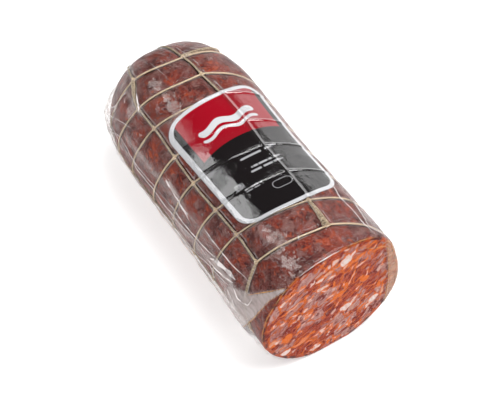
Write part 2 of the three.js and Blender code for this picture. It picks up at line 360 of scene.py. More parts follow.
# Crests of folds as places (station, angle), half-width and height
FOLDS = [
    ([(80, 153), (67.4, 153.5), (53.9, 153.5), (41.1, 152.5), (23.6, 149.5)], 0.7, 0.9),
    ([(126, 152.5), (122.7, 153.5), (108.5, 156.5), (101, 157), (94.4, 156.5)], 1.2, 1.3),
    ([(168, 166), (155.5, 171), (134, 171), (106.5, 171.5), (86.3, 169), (66.7, 167.5)], 0.8, 1.0),
    ([(129.4, 167.5), (108, 166), (84.3, 166), (55.3, 161), (36, 157)], 0.8, 1.0),
    ([(128, 176), (106, 178), (84, 180), (66, 174), (52, 171), (38, 167)], 0.8, 0.9),
    ([(64, 168.5), (56, 168), (47.2, 165.5), (34.4, 161)], 1.3, 1.6),
    ([(64, 168.5), (58.6, 173.5), (51.2, 178)], 1.0, 1.0),
    ([(41.8, 174), (37.8, 179.5), (33.7, 185.5)], 1.0, 0.8),
    ([(33, 164), (27, 167.5), (16.9, 163.5), (15.5, 157)], 1.0, 1.5),
    ([(13.5, 176.5), (8.1, 182.5), (5.4, 194)], 0.8, 0.9),
    ([(216, 171.5), (201.3, 151), (199, 136)], 0.9, 0.7),
    ([(213.8, 175.5), (190.1, 157), (174, 150)], 0.9, 0.8),
    ([(212, 178.5), (187.2, 170), (174, 172)], 0.9, 0.8),
    ([(209, 184), (196, 190), (180, 189), (160, 186)], 0.9, 0.9),
    ([(200.2, 179.5), (184.2, 167), (155.5, 168.5), (128.8, 167.5)], 0.9, 0.9),
    ([(205, 186), (176, 182), (150, 186), (120, 188), (90, 186), (60, 190)], 1.0, 1.0),
    ([(54, 56), (46.5, 57), (33.7, 59), (24.9, 58), (12, 58), (2, 57)], 0.8, 1.0),
    ([(37, 50), (24.3, 52), (15.5, 54), (6, 54), (1.3, 48)], 0.8, 0.9),
    ([(150, 51), (120, 49), (92, 50), (70, 46), (48, 49)], 0.8, 0.8),
    ([(205.6, 107), (192.8, 105.5), (181.1, 104.5)], 0.4, 0.35),
]
# Thin bright glints on crests: places and half-width
GLINTS = [
    ([(110.5, 155.5), (104, 157), (97, 159.5), (93, 160.8)], 0.8),
    ([(63, 167), (54, 163.5), (44, 160.5), (35, 159)], 2.3),
    ([(126, 154), (119, 156)], 0.4),
    ([(24, 103), (21, 104.5)], 0.5),
    ([(190, 129.5), (181, 134), (176, 136)], 0.7),
    ([(40, 172), (33, 176), (29, 180)], 0.8),
    ([(197, 141), (193, 143)], 0.5),
]
# Thin oily edges of loose film, as places
OILY_EDGES = [
    [(0, 133), (2, 140.5), (4.7, 147.5), (6.1, 155.5), (9.4, 168), (22.9, 197)],
    [(21.6, 159.5), (13.5, 149), (6.1, 139.5), (1, 132)],
    [(158, 194), (144, 191), (131, 195), (112.6, 197), (94, 195), (83, 196), (52.6, 195)],
]
# Hazy stretches of loose film: lines of places, half-width and share of haze
VEILS = [
    ([(160, 163), (128, 160), (101, 163), (75, 160), (50, 160)], 3.2, 0.26),
    ([(122, 153.5), (108, 156.2), (97, 157)], 1.5, 0.8),
    ([(60, 166.5), (48, 166), (38, 163)], 2.6, 0.85),
    ([(40, 177), (28, 175), (14, 180)], 8, 0.55),
    ([(160, 191), (120, 194), (80, 193), (50, 191)], 4.5, 0.35),
    ([(216, 150), (207, 176), (190, 184)], 5.5, 0.6),
    ([(223, 168), (215, 178), (205, 184)], 6, 0.6),
    ([(211, 124), (210, 140), (207, 160)], 4.5, 0.25),
    ([(176, 160), (144, 158.5), (121, 159), (96, 157), (67, 155.5)], 2.6, 0.42),
    ([(110, 173), (80, 171), (60, 167), (45, 171)], 6, 0.5),
    ([(200, 160), (184, 166), (165, 172)], 2.5, 0.3),
    ([(198, 136), (184, 137), (174, 136)], 2.5, 0.35),
    ([(150, 42), (100, 42), (50, 44), (25, 46), (5, 48)], 4, 0.35),
]
# Crinkled patches that shine, with real gloss and a painted pale glare: station, angle, and reach along and
# round
GLARES = [(183, 114.5, 7, 5), (159, 115, 12, 6), (29, 115.5, 10, 6.5), (11, 119, 10, 7), (203, 157, 4, 5),
          (184, 143, 5, 5)]
LABEL_SHINE = 3.6                           # as multiples of the shine on the casing
RIGHT_SHINE = 7.5
LABEL_RIDGE = 79.5
# A hazy corner of film that stands off the meat, between two lines of angles and stations
CORNER_ANGLES = [132, 140, 148, 156, 168, 197]
CORNER_NEAR = [0, 2, 4.7, 6.1, 9.4, 22.9]
CORNER_FAR = [1, 6.5, 13, 19, 40, 48]
CORNER_HAZE = 0.62
LEFT_ENDS = 250                             # the angle where the left flank has run under the meat
NET_HAZE = 0.06                             # beside the cords
# Levels of the film: at the foot of a cord, in the cells, what it rises by over a hoop, a string and
# a crossing, in crinkled patches and in pleats on the left flank, and its room over the label
FILM_LOW = 0.25
FILM_HIGH = 0.8
OVER_HOOP = 0.55
OVER_STRING = 0.95
OVER_CROSSING = 0.5
CRINKLE = 0.22
PLEAT = {"height": 0.4, "angle": 192, "spread": 34}
OVER_LABEL = 0.14


def crest_distance(station, angle, crest):
    """Distance over the surface from a line of places."""
    best = np.full(len(station), 1e9)
    spot = np.stack([station, angle * MM_PER_DEGREE], -1)
    corners = np.array([(place, turn * MM_PER_DEGREE) for place, turn in crest])
    for a, b in zip(corners[:-1], corners[1:]):
        share = np.clip(((spot - a) @ (b - a)) / ((b - a) @ (b - a)), 0, 1)
        best = np.minimum(best, np.linalg.norm(spot - a - share[:, None] * (b - a), axis=-1))
    return best


def fold_ridges(station, angle):
    heights = [rise * bell(crest_distance(station, angle, crest), width) for crest, width, rise in FOLDS]
    return np.max(heights, axis=0)


def left_of(angle, low, high):
    """1 on the left flank, from where it eases in between two angles until it runs under the meat."""
    return ease(angle, low, high) * ease(LEFT_ENDS - angle, 0, 30)


def corner_share(station, angle):
    """1 on the hazy corner of film and 0 off it. Low down its far edge is softer."""
    near = np.interp(angle, CORNER_ANGLES, CORNER_NEAR)
    far = np.interp(angle, CORNER_ANGLES, CORNER_FAR)
    softness = 1 + 7 * ease(angle, 164, 180)
    inside = ease(station - near, -0.4, 0.4) * ease((far - station) / softness, -0.5, 0.5)
    return inside * left_of(angle, CORNER_ANGLES[0], CORNER_ANGLES[0] + 2)


def glare_share(station, angle):
    """1 in the middle of a crinkled patch of film that shines, and 0 off it."""
    shares = [bell(np.hypot((station - place) / reach, (angle - middle) / spread), 1)
              for place, middle, reach, spread in GLARES]
    return np.max(shares, axis=0)


def film_shine(station, angle, on_label):
    """How strongly the film mirrors: least where it clings to the casing, most right of the ridge."""
    right = ease(LABEL_RIDGE - angle, -0.3, 0.3)
    left = LABEL_SHINE * (1 - 0.7 * ease(station, 116, 124) * (1 - right))
    label = left + right * (RIGHT_SHINE - LABEL_SHINE) * ease(angle, 55, LABEL_RIDGE)
    return blend(1 - 0.55 * ease(angle, 138, 150), label, on_label)


def film_haze(station, angle, points, folds, pleats):
    """The film's share of haze: on folds, in veils, by the cords and on the corner of loose film."""
    haze = 0.2 * folds
    for line, width, share in VEILS:
        haze = np.maximum(haze, share * bell(crest_distance(station, angle, line), width))
    streaks = ease(pleats + 0.4 * lumps(points, 7, 8), -0.2, 0.9)
    haze = haze * (0.45 + 0.55 * streaks)
    hoops, strings = net_distances(station, angle)
    near_net = np.maximum(bell(hoops, 4.5), bell(strings, 4.5)) * ease(lumps(points, 13, 9), -0.15, 0.45)
    haze = np.maximum(haze, NET_HAZE * near_net)
    near_edge = np.interp(angle, CORNER_ANGLES, CORNER_NEAR)
    bare = ease(near_edge - station, -0.4, 0.4) * left_of(angle, 131, 135)
    return np.maximum(haze * (1 - 0.85 * bare), CORNER_HAZE * corner_share(station, angle))


def film_state(station, angle, points):
    """The film's level and its share of haze."""
    angle = over_top(angle)
    hoops, strings = net_distances(station, angle)
    level = pillowed(station, hoops, strings, FILM_LOW, FILM_HIGH, LUMP * lumps(points, LUMP_SIZE, 1))
    level = level + np.maximum(OVER_HOOP * bell(hoops, 0.85), OVER_STRING * bell(strings, 1.0))
    level = level + OVER_CROSSING * bell(hoops, 1.6) * bell(strings, 1.6)
    patches = ease(lumps(points, 22, 5), -0.1, 0.35) * between_cords(hoops, strings, CELL_EDGE)
    level = level + CRINKLE * patches * ease(1 - np.abs(lumps(points, 5.5, 6, 2)) * 2.2, 0.2, 1)
    pleats = 1 - np.abs(lumps(points, (34, 5, 5), 7, 2)) * 2
    flank = PLEAT["height"] * bell(angle - PLEAT["angle"], PLEAT["spread"])
    level = level + bump_of(SKIRTS, station, angle) + flank * ease(pleats, 0.3, 1)
    folds = fold_ridges(station, angle)
    wound = [bell(crest_distance(station, angle, line), 2.4) * reach for line, *_, reach in THICK]
    level = level + folds + np.max(wound, axis=0)
    on_label = ease(-label_outline(station, angle), -1.2, 0.4)
    label_top = LABEL_LEVEL + LABEL_THICKNESS + OVER_LABEL + label_ridge(station, angle)
    level = blend(level, label_top, on_label)
    haze = film_haze(station, angle, points, folds, pleats) * (1 - 0.9 * on_label)
    return level - bell(station, CUT_ROUNDING), np.clip(haze, 0, 0.85)


# Making pieces

def carry(bm, columns, rows, place, numbers=()):
    """Adds a grid whose corners are carried to place(u, v), and joins the ones that meet.

    place gives points, and after them one number a corner for each name in numbers."""
    layers = [bm.verts.layers.float.get(name) or bm.verts.layers.float.new(name) for name in numbers]
    corners = bmesh.ops.create_grid(bm, x_segments=columns, y_segments=rows, size=0.5)["verts"]
    u, v = (np.array([(corner.co.x, corner.co.y) for corner in corners]) + 0.5).T
    spots = place(u, v)
    if numbers:
        spots, *values = spots
        for layer, value in zip(layers, values):
            for corner, number in zip(corners, value):
                corner[layer] = number
    for corner, spot in zip(corners, spots):
        corner.co = spot
    bmesh.ops.remove_doubles(bm, verts=corners, dist=WELD)


def finished(bm, name, finish, node=None, closed=True):
    """Turns a bmesh in millimetres into a smooth piece that rides on the salami."""
    if closed:
        bmesh.ops.recalc_face_normals(bm, faces=bm.faces)
    bmesh.ops.transform(bm, matrix=Matrix.Scale(MM, 4), verts=bm.verts)
    mesh = bpy.data.meshes.new(name)
    bm.to_mesh(mesh)
    bm.free()
    mesh.shade_smooth()
    mesh.materials.append(finish)
    piece = bpy.data.objects.new(name, mesh)
    bpy.context.scene.collection.objects.link(piece)
    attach(piece, "root")
    if node:
        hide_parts(node)
    return piece


# Shader maths

class Signal:
    """A node's output that takes part in plain arithmetic."""

    def __init__(self, finish, socket):
        self.finish = finish
        self.socket = socket

    def math(self, operation, *others):
        return self.finish.node("ShaderNodeMath", {"operation": operation}, dict(enumerate((self, *others))))

    def __add__(self, other):
        return self.math("ADD", other)

    def __mul__(self, other):
        return self.math("MULTIPLY", other)

    def __sub__(self, other):
        return self.math("SUBTRACT", other)

    def __rsub__(self, other):
        return self * -1 + other

    def __pow__(self, other):
        return self.math("POWER", other)

    def __abs__(self):
        return self.math("ABSOLUTE")

    def __gt__(self, other):
        return self.math("GREATER_THAN", other)

    __radd__ = __add__
    __rmul__ = __mul__


class Finish:
    """A material and the nodes that make it."""

    def __init__(self, name):
        self.material = bpy.data.materials.new(name)
        self.material.use_nodes = True
        self.tree = self.material.node_tree
        self.tree.nodes.clear()
        self.place = self.node("ShaderNodeVectorMath", {"operation": "SCALE"},
                               {0: self.node("ShaderNodeTexCoord", {}, {}, "Object"), "Scale": 1 / MM})

    def node(self, kind, settings, sockets, output=0):
        made = self.tree.nodes.new(kind)
        for name, value in settings.items():
            setattr(made, name, value)
        for name, value in sockets.items():
            if isinstance(value, Signal):
                self.tree.links.new(value.socket, made.inputs[name])
            else:
                made.inputs[name].default_value = value
        return Signal(self, made.outputs[output])

    def moved(self, place, scale=(1, 1, 1), turn=(0, 0, 0), shift=(0, 0, 0)):
        turn = tuple(math.radians(value) for value in turn)
        return self.node("ShaderNodeMapping", {},
                         {"Vector": place, "Scale": scale, "Rotation": turn, "Location": shift})

    def noise(self, place, size, detail=2, roughness=0.5, shift=None):
        """Smooth noise in lumps of a size. A shift gives other lumps."""
        place = self.moved(place, shift=shift) if shift else place
        return self.node("ShaderNodeTexNoise", {}, {"Vector": place, "Scale": 1 / size, "Detail": detail,
                                                    "Roughness": roughness}, "Fac")

    def creases(self, place, size, detail, roughness):
        """How far noise is from its middle, which is nothing along thin winding lines."""
        return abs(self.noise(place, size, detail, roughness) - 0.5)

    def warped(self, place, size, reach):
        """The place, pushed about by up to a reach in swirls of a size."""
        sockets = {"Vector": place, "Scale": 1 / size, "Detail": 2}
        swirl = self.node("ShaderNodeTexNoise", {}, sockets, "Color")
        push = self.node("ShaderNodeVectorMath", {"operation": "MULTIPLY_ADD"},
                         {0: swirl, 1: (2 * reach,) * 3, 2: (-reach,) * 3})
        return self.node("ShaderNodeVectorMath", {"operation": "ADD"}, {0: place, 1: push})

    def ease(self, value, low, high, first=0.0, last=1.0):
        return self.node("ShaderNodeMapRange", {"interpolation_type": "SMOOTHSTEP"},
                         {"Value": value, "From Min": low, "From Max": high, "To Min": first, "To Max": last})

    def mix(self, share, first, second):
        first, second = (tone if isinstance(tone, Signal) else (*tone, 1) for tone in (first, second))
        return self.node("ShaderNodeMix", {"data_type": "RGBA"}, {0: share, 6: first, 7: second}, 2)

    def painted(self, colour, *layers):
        """A colour with layers, each a share and its own colour, laid over it in turn."""
        for share, tone in layers:
            colour = self.mix(share, colour, tone)
        return colour

    def attribute(self, name):
        return self.node("ShaderNodeAttribute", {"attribute_name": name}, {}, "Fac")

    def bump(self, height, distance, strength=1.0):
        sockets = {"Height": height, "Distance": distance, "Strength": strength}
        return self.node("ShaderNodeBump", {}, sockets, "Normal")

    def shader(self, colour, roughness, **more):
        """A surface. In the names of its other sockets an underscore stands for a space."""
        sockets = {"Base Color": colour, "Roughness": roughness}
        sockets.update((name.replace("_", " "), value) for name, value in more.items())
        return self.node("ShaderNodeBsdfPrincipled", {}, sockets)

    def clear(self):
        return self.node("ShaderNodeBsdfTransparent", {}, {"Color": WHITE})

    def blend(self, share, first, second):
        return self.node("ShaderNodeMixShader", {}, {0: share, 1: first, 2: second})

    def done(self, shader):
        output = self.tree.nodes.new("ShaderNodeOutputMaterial")
        self.tree.links.new(shader.socket, output.inputs["Surface"])
        return self.material


CASING = {
    "dark": (0.055, 0.009, 0.008), "red": (0.15, 0.038, 0.032), "mauve": (0.215, 0.1, 0.088),
    "rust": (0.21, 0.027, 0.013), "orange": (0.38, 0.06, 0.018), "fibre": (0.34, 0.19, 0.165),
    "pale": (0.34, 0.17, 0.14), "black": (0.03, 0.007, 0.006), "groove": (0.012, 0.005, 0.004),
    "dark_oil": (0.09, 0.014, 0.01), "oil": (0.5, 0.08, 0.012),
}


def casing_finish():
    """Dark maroon casing with rust-red blotches, mauve patches, fine pale fibres and painted shade in the
    grooves beside the cords.
    """
    f = Finish("salami_casing")
    place = f.warped(f.warped(f.place, 14, 5), 3.5, 1.4)
    stretched = f.moved(place, (0.6, 1, 1), (0, 0, 20))
    rust = f.attribute("rust")
    middle = f.noise(stretched, 4, 5, 0.65)
    fine = f.noise(f.place, 1.2, 3, 0.6)
    mauve = f.ease(f.noise(place, 7, 5, 0.62, (40, 7, 3)), 0.5, 0.6)
    blotch = f.ease(f.noise(stretched, 9, 4, 0.6, (9, 60, 5)) + rust * 0.14, 0.5, 0.55)
    blotch = blotch * f.ease(f.noise(stretched, 2.6, 4, 0.6, (3, 8, 31)) + rust * 0.1, 0.42, 0.54)
    orange = f.ease(f.noise(place, 4, 3, 0.55, (70, 3, 11)) + rust * 0.1, 0.62, 0.68)
    fibre = f.creases(f.moved(place, (0.7, 1, 1), (0, 0, -35)), 2.4, 4, 0.68)
    # Painted shade: the casing turns near black within about 2 mm of a cord, where the groove lies in shade.
    groove = f.ease(f.attribute("to_cord"), 1.9, 0.9)
    rim = f.ease(f.attribute("to_cut") + f.noise(f.place, 3, 3) * 1.6, 2.1, 1.1)
    oily = f.ease(f.noise(f.place, 6, 3, shift=(8, 8, 1)), 0.42, 0.56)
    colour = f.painted(
        f.mix(f.ease(middle, 0.42, 0.6), CASING["dark"], CASING["red"]),
        (mauve * 0.8, CASING["mauve"]),
        (blotch * 0.9, CASING["rust"]),
        (orange * 0.75, CASING["orange"]),
        (f.ease(fibre, 0.025, 0.0) * 0.4, CASING["fibre"]),
        (f.ease(fine, 0.54, 0.68) * 0.35, CASING["pale"]),
        (f.ease(fine, 0.46, 0.32) * 0.55, CASING["black"]),
        (groove * 0.85, CASING["groove"]),
        (rim * 0.9, f.mix(oily, CASING["dark_oil"], CASING["oil"])),
    )
    normal = f.bump(middle * 0.5 + fine * 0.16, 0.001)
    return f.done(f.shader(colour, f.ease(fine, 0.3, 0.7, 0.38, 0.6), Normal=normal, Specular_IOR_Level=0.15))


CUT = {
    "dark_red": (0.21, 0.016, 0.008), "red": (0.4, 0.06, 0.024), "shade": (0.13, 0.01, 0.005),
    "mauve": (0.33, 0.1, 0.08), "light_mauve": (0.44, 0.22, 0.19), "pale_mauve": (0.62, 0.4, 0.36),
    "dark_mauve": (0.24, 0.035, 0.02), "orange_bit": (0.52, 0.1, 0.02), "dark_bit": (0.15, 0.011, 0.006),
    "pink_bit": (0.5, 0.24, 0.18), "pale_bit": (0.74, 0.5, 0.42), "seam": (0.6, 0.11, 0.014),
    "streak_and_glint": (0.8, 0.62, 0.54), "deep_oil": (0.56, 0.085, 0.008), "oil": (0.86, 0.21, 0.025),
    "warm_fat": (0.68, 0.44, 0.36), "fat": (0.78, 0.68, 0.66), "oily_meat": (0.62, 0.22, 0.08),
    "rim": (0.46, 0.055, 0.008),
}


def grains(f, place, size, slimness, shift):
    """Grains side by side: how far in from a grain's edge, and two random numbers for each."""
    sockets = {"Vector": f.moved(place, (1, slimness, 1), shift=shift), "Scale": 1 / size}
    edge = f.node("ShaderNodeTexVoronoi", {"feature": "DISTANCE_TO_EDGE"}, sockets, "Distance")
    draws = f.node("ShaderNodeTexVoronoi", {}, sockets, "Color")
    return edge, *(f.node("ShaderNodeSeparateColor", {}, {0: draws}, part) for part in ("Red", "Green"))


def chosen(draw, low, high):
    return (draw > low) * (1 - (draw > high))


def minced(f, warped, red, streaks, fine):
    """Grains of red and mauve lean, small bits of all kinds between them, seams round them, and thin pale
    streaks that are partly painted glints of the film.
    """
    lean = f.attribute("lean")
    edge, first, second = grains(f, warped, 7.8, 0.55, (3, 5, 1))
    small_edge, small, tone = grains(f, warped, 2.2, 0.5, (8, 1, 4))
    mauve = f.painted(f.mix(second, CUT["mauve"], CUT["light_mauve"]),
                      (f.ease(streaks, 0.52, 0.6) * 0.7, CUT["pale_mauve"]),
                      (f.ease(streaks, 0.46, 0.38) * 0.7, CUT["dark_mauve"]))
    is_mauve = chosen(first, 0.0, 0.6) * (1 - f.ease(lean, 0.3, 0.6)) * f.ease(edge, 0.03, 0.07)
    small_in = f.ease(small_edge, 0.02, 0.08)
    ground = f.noise(f.place, 7, shift=(7, 2, 6))
    seams = f.ease(edge + red * 0.1, 0.12, 0.075)
    return f.painted(
        f.mix(f.ease(red, 0.4, 0.6), CUT["dark_red"], CUT["red"]),
        (is_mauve * 0.95, mauve),
        (chosen(small, 0.0, 0.14) * small_in * 0.9, CUT["orange_bit"]),
        (chosen(small, 0.14, 0.28) * small_in * 0.9, CUT["dark_bit"]),
        (chosen(small, 0.28, 0.35) * small_in * (1 - lean * 0.7),
         f.mix(tone, CUT["pink_bit"], CUT["pale_bit"])),
        (seams * f.ease(ground, 0.44, 0.54) * 0.85, CUT["seam"]),
        (seams * f.ease(ground, 0.4, 0.32) * 0.8, CUT["shade"]),
        (f.ease(fine, 0.4, 0.3) * 0.5, CUT["shade"]),
        # Thin pale streaks: partly pale grain in the mince, partly painted glints of the wet film on the cut.
        (f.ease(streaks, 0.66, 0.7) * 0.6, CUT["streak_and_glint"]),
    )


def cut_finish():
    """Coarsely minced meat with oily orange seams, and pieces of pale fat in it."""
    f = Finish("salami_cut")
    warped = f.warped(f.warped(f.moved(f.place, turn=(-CUT_GRAIN, 0, 0)), 12, 4), 3, 1.3)
    red = f.noise(f.moved(warped, (1, 0.5, 1)), 2.2, 4, 0.62)
    streaks = f.noise(f.moved(warped, (1, 0.16, 1)), 0.8, 3, 0.65)
    fine = f.noise(f.place, 0.9, 3, 0.6)
    to_fat = f.attribute("to_fat")
    fatness = f.attribute("fatness")
    ragged = (f.noise(f.moved(warped, (1, 0.5, 1), shift=(1, 1, 7)), 1.6, 4, 0.65) - 0.5) * 2.6
    halo = f.ease(to_fat + ragged * 1.1, 0.75, 0.35) * f.ease(to_fat, 3.0, 2.0)
    fat = f.mix(f.ease(f.noise(f.place, 1.8, 3), 0.35, 0.65), CUT["warm_fat"], CUT["fat"])
    in_fat = f.ease(to_fat + ragged * 0.8, 0.15, -0.15) * f.ease(fatness, 0.0, 0.3)
    colour = f.painted(
        minced(f, warped, red, streaks, fine),
        (halo * 0.95, f.mix(fine, CUT["deep_oil"], CUT["oil"])),
        (in_fat, f.mix(1 - fatness, fat, CUT["oily_meat"])),
        (f.attribute("rim"), CUT["rim"]),
    )
    normal = f.bump(streaks * 0.2 + red * 0.4, 0.001)
    return f.done(f.shader(colour, f.ease(streaks, 0.3, 0.7, 0.35, 0.55), Normal=normal,
                           Specular_IOR_Level=0.06))


TWINE = {"cream": (0.84, 0.66, 0.45), "tan": (0.62, 0.47, 0.33), "greasy": (0.42, 0.34, 0.235),
         "fibre_gap_shade": (0.16, 0.1, 0.06), "fleck": (0.1, 0.07, 0.045)}


def twine_finish():
    """Cotton twine, cream where it is dry and tan where it is greasy, with painted shade between its fibres.
    """
    f = Finish("net_twine")
    soil = f.ease(f.noise(f.place, 11, 3, 0.6), 0.38, 0.66)
    greasy = f.attribute("greasy")
    fibre = f.noise(f.place, 0.4, 3, 0.7)
    fleck = f.noise(f.place, 0.9, 2, 0.6, (3, 3, 3))
    colour = f.painted(
        f.mix(soil, TWINE["cream"], TWINE["tan"]),
        (greasy, TWINE["greasy"]),
        # Painted shade: darker where the fine fibre noise is low, as in the gaps between fibres.
        (f.ease(fibre, 0.5, 0.34) * 0.75, TWINE["fibre_gap_shade"]),
        (f.ease(fleck, 0.5, 0.42) * greasy * 0.9, TWINE["fleck"]),
    )
    return f.done(f.shader(colour, f.ease(fibre, 0.3, 0.7, 0.6, 0.9), Normal=f.bump(fibre, 0.0002, 0.7),
                           Specular_IOR_Level=0.3))


def box_edge(across, along, half_width, half_length, corner):
    """Distance outside a rounded box, for fields of print."""
    x = abs(across) - (half_width - corner)
    y = abs(along) - (half_length - corner)
    outside = x.math("MAXIMUM", 0) ** 2 + y.math("MAXIMUM", 0) ** 2
    return outside.math("SQRT") + x.math("MAXIMUM", y).math("MINIMUM", 0) - corner


# The label's colours, each ground as two tones
LABEL_WHITE = (0.6, 0.6, 0.62)
LABEL_BLACK = ((0.005, 0.003, 0.0035), (0.008, 0.005, 0.006))
LABEL_RED = ((0.31, 0.003, 0.012), (0.35, 0.004, 0.016))
LABEL_BORDER = 3.0
RED_FIELD = {"half_width": 27.9, "starts": 14.8, "bow": -0.0045}
# White marks on the label: waves as middle, half-length, half-thickness and height, and rules as
# middle across, middle along, half-length and half-thickness
WAVES = [(31, 20, 2.3, 1.8), (24.6, 20, 1.1, 1.8)]
RULES = [(-2, -3.5, 12, 0.8), (-3, -12.5, 10.5, 0.8), (-2, -16, 11.5, 0.8), (14, -26.5, 6, 0.5),
         (14, -28.3, 6, 0.35)]


def label_finish():
    """Printed fields: white border, black ground, a red field with plain waves, and broken rules."""
    f = Finish("label_print")
    spot = f.node("ShaderNodeUVMap", {"uv_map": "print"}, {})
    u, v = (f.node("ShaderNodeSeparateXYZ", {}, {0: spot}, axis) for axis in "XY")
    half_width = LABEL["half_angle"] * MM_PER_DEGREE
    length = LABEL["length"]
    across = (u - 0.5) * (2 * half_width)
    along = (v - 0.5) * length

    def inside(edge, soft=0.12):
        return f.ease(edge, soft, -soft)

    past_red = across ** 2 * RED_FIELD["bow"] + RED_FIELD["starts"] - along
    red = inside(abs(across + 0.5) - RED_FIELD["half_width"]) * inside(past_red)
    layers = [(red, f.mix(f.noise(f.place, 20), *LABEL_RED))]
    for middle, reach, thick, height in WAVES:
        line = abs(along - (across * 0.3).math("SINE") * height - middle) * 0.85
        past_end = (abs(across) - (reach - thick)).math("MAXIMUM", 0)
        layers.append((inside((line ** 2 + past_end ** 2).math("SQRT") - thick), LABEL_WHITE))
    for middle_across, middle_along, half, thick in RULES:
        bar = box_edge(across - middle_across, along - middle_along, half, thick, thick * 0.9)
        breaks = f.noise(f.moved(spot, (26, 3, 1), shift=(middle_along, 0, 0)), 1, 0)
        layers.append((inside(bar, 0.2) * f.ease(breaks, 0.36, 0.42) * 0.75, LABEL_WHITE))
    ring = abs(box_edge(across + 2, along + 34, 6.5, 3.2, 3.1)) - 0.25
    patch = box_edge(across - 21, along + 22, 2.8, 2.6, 0.3)
    speckle = f.ease(f.noise(f.place, 1.1, 0), 0.42, 0.5)
    border = box_edge(across + 0.4, along, half_width - 0.4, length / 2, LABEL["corner"]) + LABEL_BORDER
    layers += [(inside(ring) * 0.6, LABEL_WHITE), (inside(patch) * (speckle * 0.5 + 0.2), LABEL_WHITE),
               (inside(border * -1), LABEL_WHITE)]
    colour = f.painted(f.mix(f.noise(f.place, 30), *LABEL_BLACK), *layers)
    return f.done(f.shader(colour, f.ease(f.noise(f.place, 0.8), 0.3, 0.7, 0.12, 0.22),
                           Normal=f.bump(f.noise(f.place, 5), 0.0006, 0.2), Specular_IOR_Level=0.1))


MILK = {
    "thin": (0.55, 0.47, 0.45), "thick": (0.68, 0.6, 0.58), "oil": (0.6, 0.33, 0.2),
    "gathered": (0.3, 0.22, 0.17), "lines": (0.62, 0.52, 0.5), "patch": (0.66, 0.47, 0.43),
}
FILM_IOR = 1.46
# How far beside a cord its painted white highlight line runs
LINE_BY_STRING = 2.7
LINE_BY_HOOP = 2.3


def net_crease_highlights(f):
    """Thin white lines beside a cord where the film lifts off the casing in a crease, painted on as a
    highlight.
    """
    string = f.ease(abs(f.attribute("to_string") + LINE_BY_STRING), 0.4, 0.12)
    hoop = f.ease(abs(f.attribute("to_hoop") + LINE_BY_HOOP), 0.36, 0.1)
    return string.math("MAXIMUM", hoop) * f.ease(f.noise(f.place, 9, 2, 0.6, (1, 5, 9)), 0.4, 0.52)


def film_height(f, off_label):
    """Facets of taut film all over, and wrinkles in some places."""
    long = f.moved(f.warped(f.place, 12, 4), (0.6, 1, 1))
    facets = f.node("ShaderNodeTexVoronoi", {"feature": "DISTANCE_TO_EDGE"},
                    {"Vector": long, "Scale": 1 / 8.5}, "Distance")
    wrinkle = f.creases(f.warped(f.place, 6, 3), 3.2, 3, 0.6)
    wrinkled = f.ease(f.noise(f.place, 15, shift=(3, 9, 2)), 0.44, 0.6)
    return (facets * 0.5 + wrinkle * wrinkled * 1.5) * (off_label * 0.65 + 0.35)


def film_finish(name, gloss, creases):
    """Clear bag: it hardly shows where it clings, and turns milky and wrinkled where it is loose."""
    f = Finish(name)
    off_label = 1 - f.attribute("on_label")
    patch = (f.noise(f.warped(f.place, 5, 2), 4.5, 2, 0.55) - 0.5) * 2.4 + f.attribute("glare")
    patch = f.ease(patch, 0.48, 0.6) * off_label
    crumple = f.ease(f.creases(f.warped(f.place, 4, 2.5), 2.3, 3, 0.6), 0.06, 0.01)
    # Painted highlights beside the cords: white in the milky layer, and a small crease in the bump.
    lines = net_crease_highlights(f) * off_label
    height = film_height(f, off_label) * creases * (1 - patch * 0.7) + patch * crumple * 0.1
    normal = f.bump(height + lines * 0.25, 0.001)
    shine = f.node("ShaderNodeFresnel", {}, {"IOR": FILM_IOR, "Normal": normal})
    shine = shine * (f.attribute("shine") * gloss + patch * 1.3)
    skin = f.shader(WHITE, 0.06, Metallic=1, Normal=normal)
    milk = f.painted(
        f.mix(f.noise(f.place, 6, 3), MILK["thin"], MILK["thick"]),
        (f.attribute("oil"), MILK["oil"]),
        (f.attribute("gathered"), MILK["gathered"]),
        (lines, MILK["lines"]),
        (patch, MILK["patch"]),
    )
    uneven = f.ease(f.noise(f.moved(f.place, (0.3, 1, 1)), 2.4, 3), 0.3, 0.65, 0.78, 1.0)
    haze = (f.attribute("haze") * uneven).math("MAXIMUM", lines * 0.55)
    # Glare patches: pale milky colour in them is painted glare, on top of their added gloss.
    haze = haze.math("MAXIMUM", patch * (crumple * 0.26 + 0.16))
    glossy = f.blend(shine.math("MINIMUM", 0.6), f.clear(), skin)
    return f.done(f.blend(haze, glossy, f.shader(milk, 0.25, Normal=normal)))


def edge_finish(name, colour):
    """An edge of film, glossy and a little see-through, in a colour. The bright white ones are folds and rim
    edges painted as highlights.
    """
    f = Finish(name)
    tone = f.mix(f.noise(f.place, 5, 3), tuple(0.8 * part for part in colour), colour)
    body = f.shader(tone, f.ease(f.noise(f.place, 2), 0.3, 0.7, 0.15, 0.3))
    share = f.ease(f.noise(f.place, 7, shift=(4, 4, 4)), 0.35, 0.5, 0.45, 1.0)
    return f.done(f.blend(share, f.clear(), body))


def floor_finish():
    f = Finish("studio_floor")
    colour = f.mix(f.noise(f.place, 400), (0.9, 0.9, 0.9), (0.92, 0.92, 0.92))
    return f.done(f.shader(colour, 0.9, Specular_IOR_Level=0.1, Emission_Color=WHITE,
                           Emission_Strength=FLOOR_GLOW))


# Meat and cut face

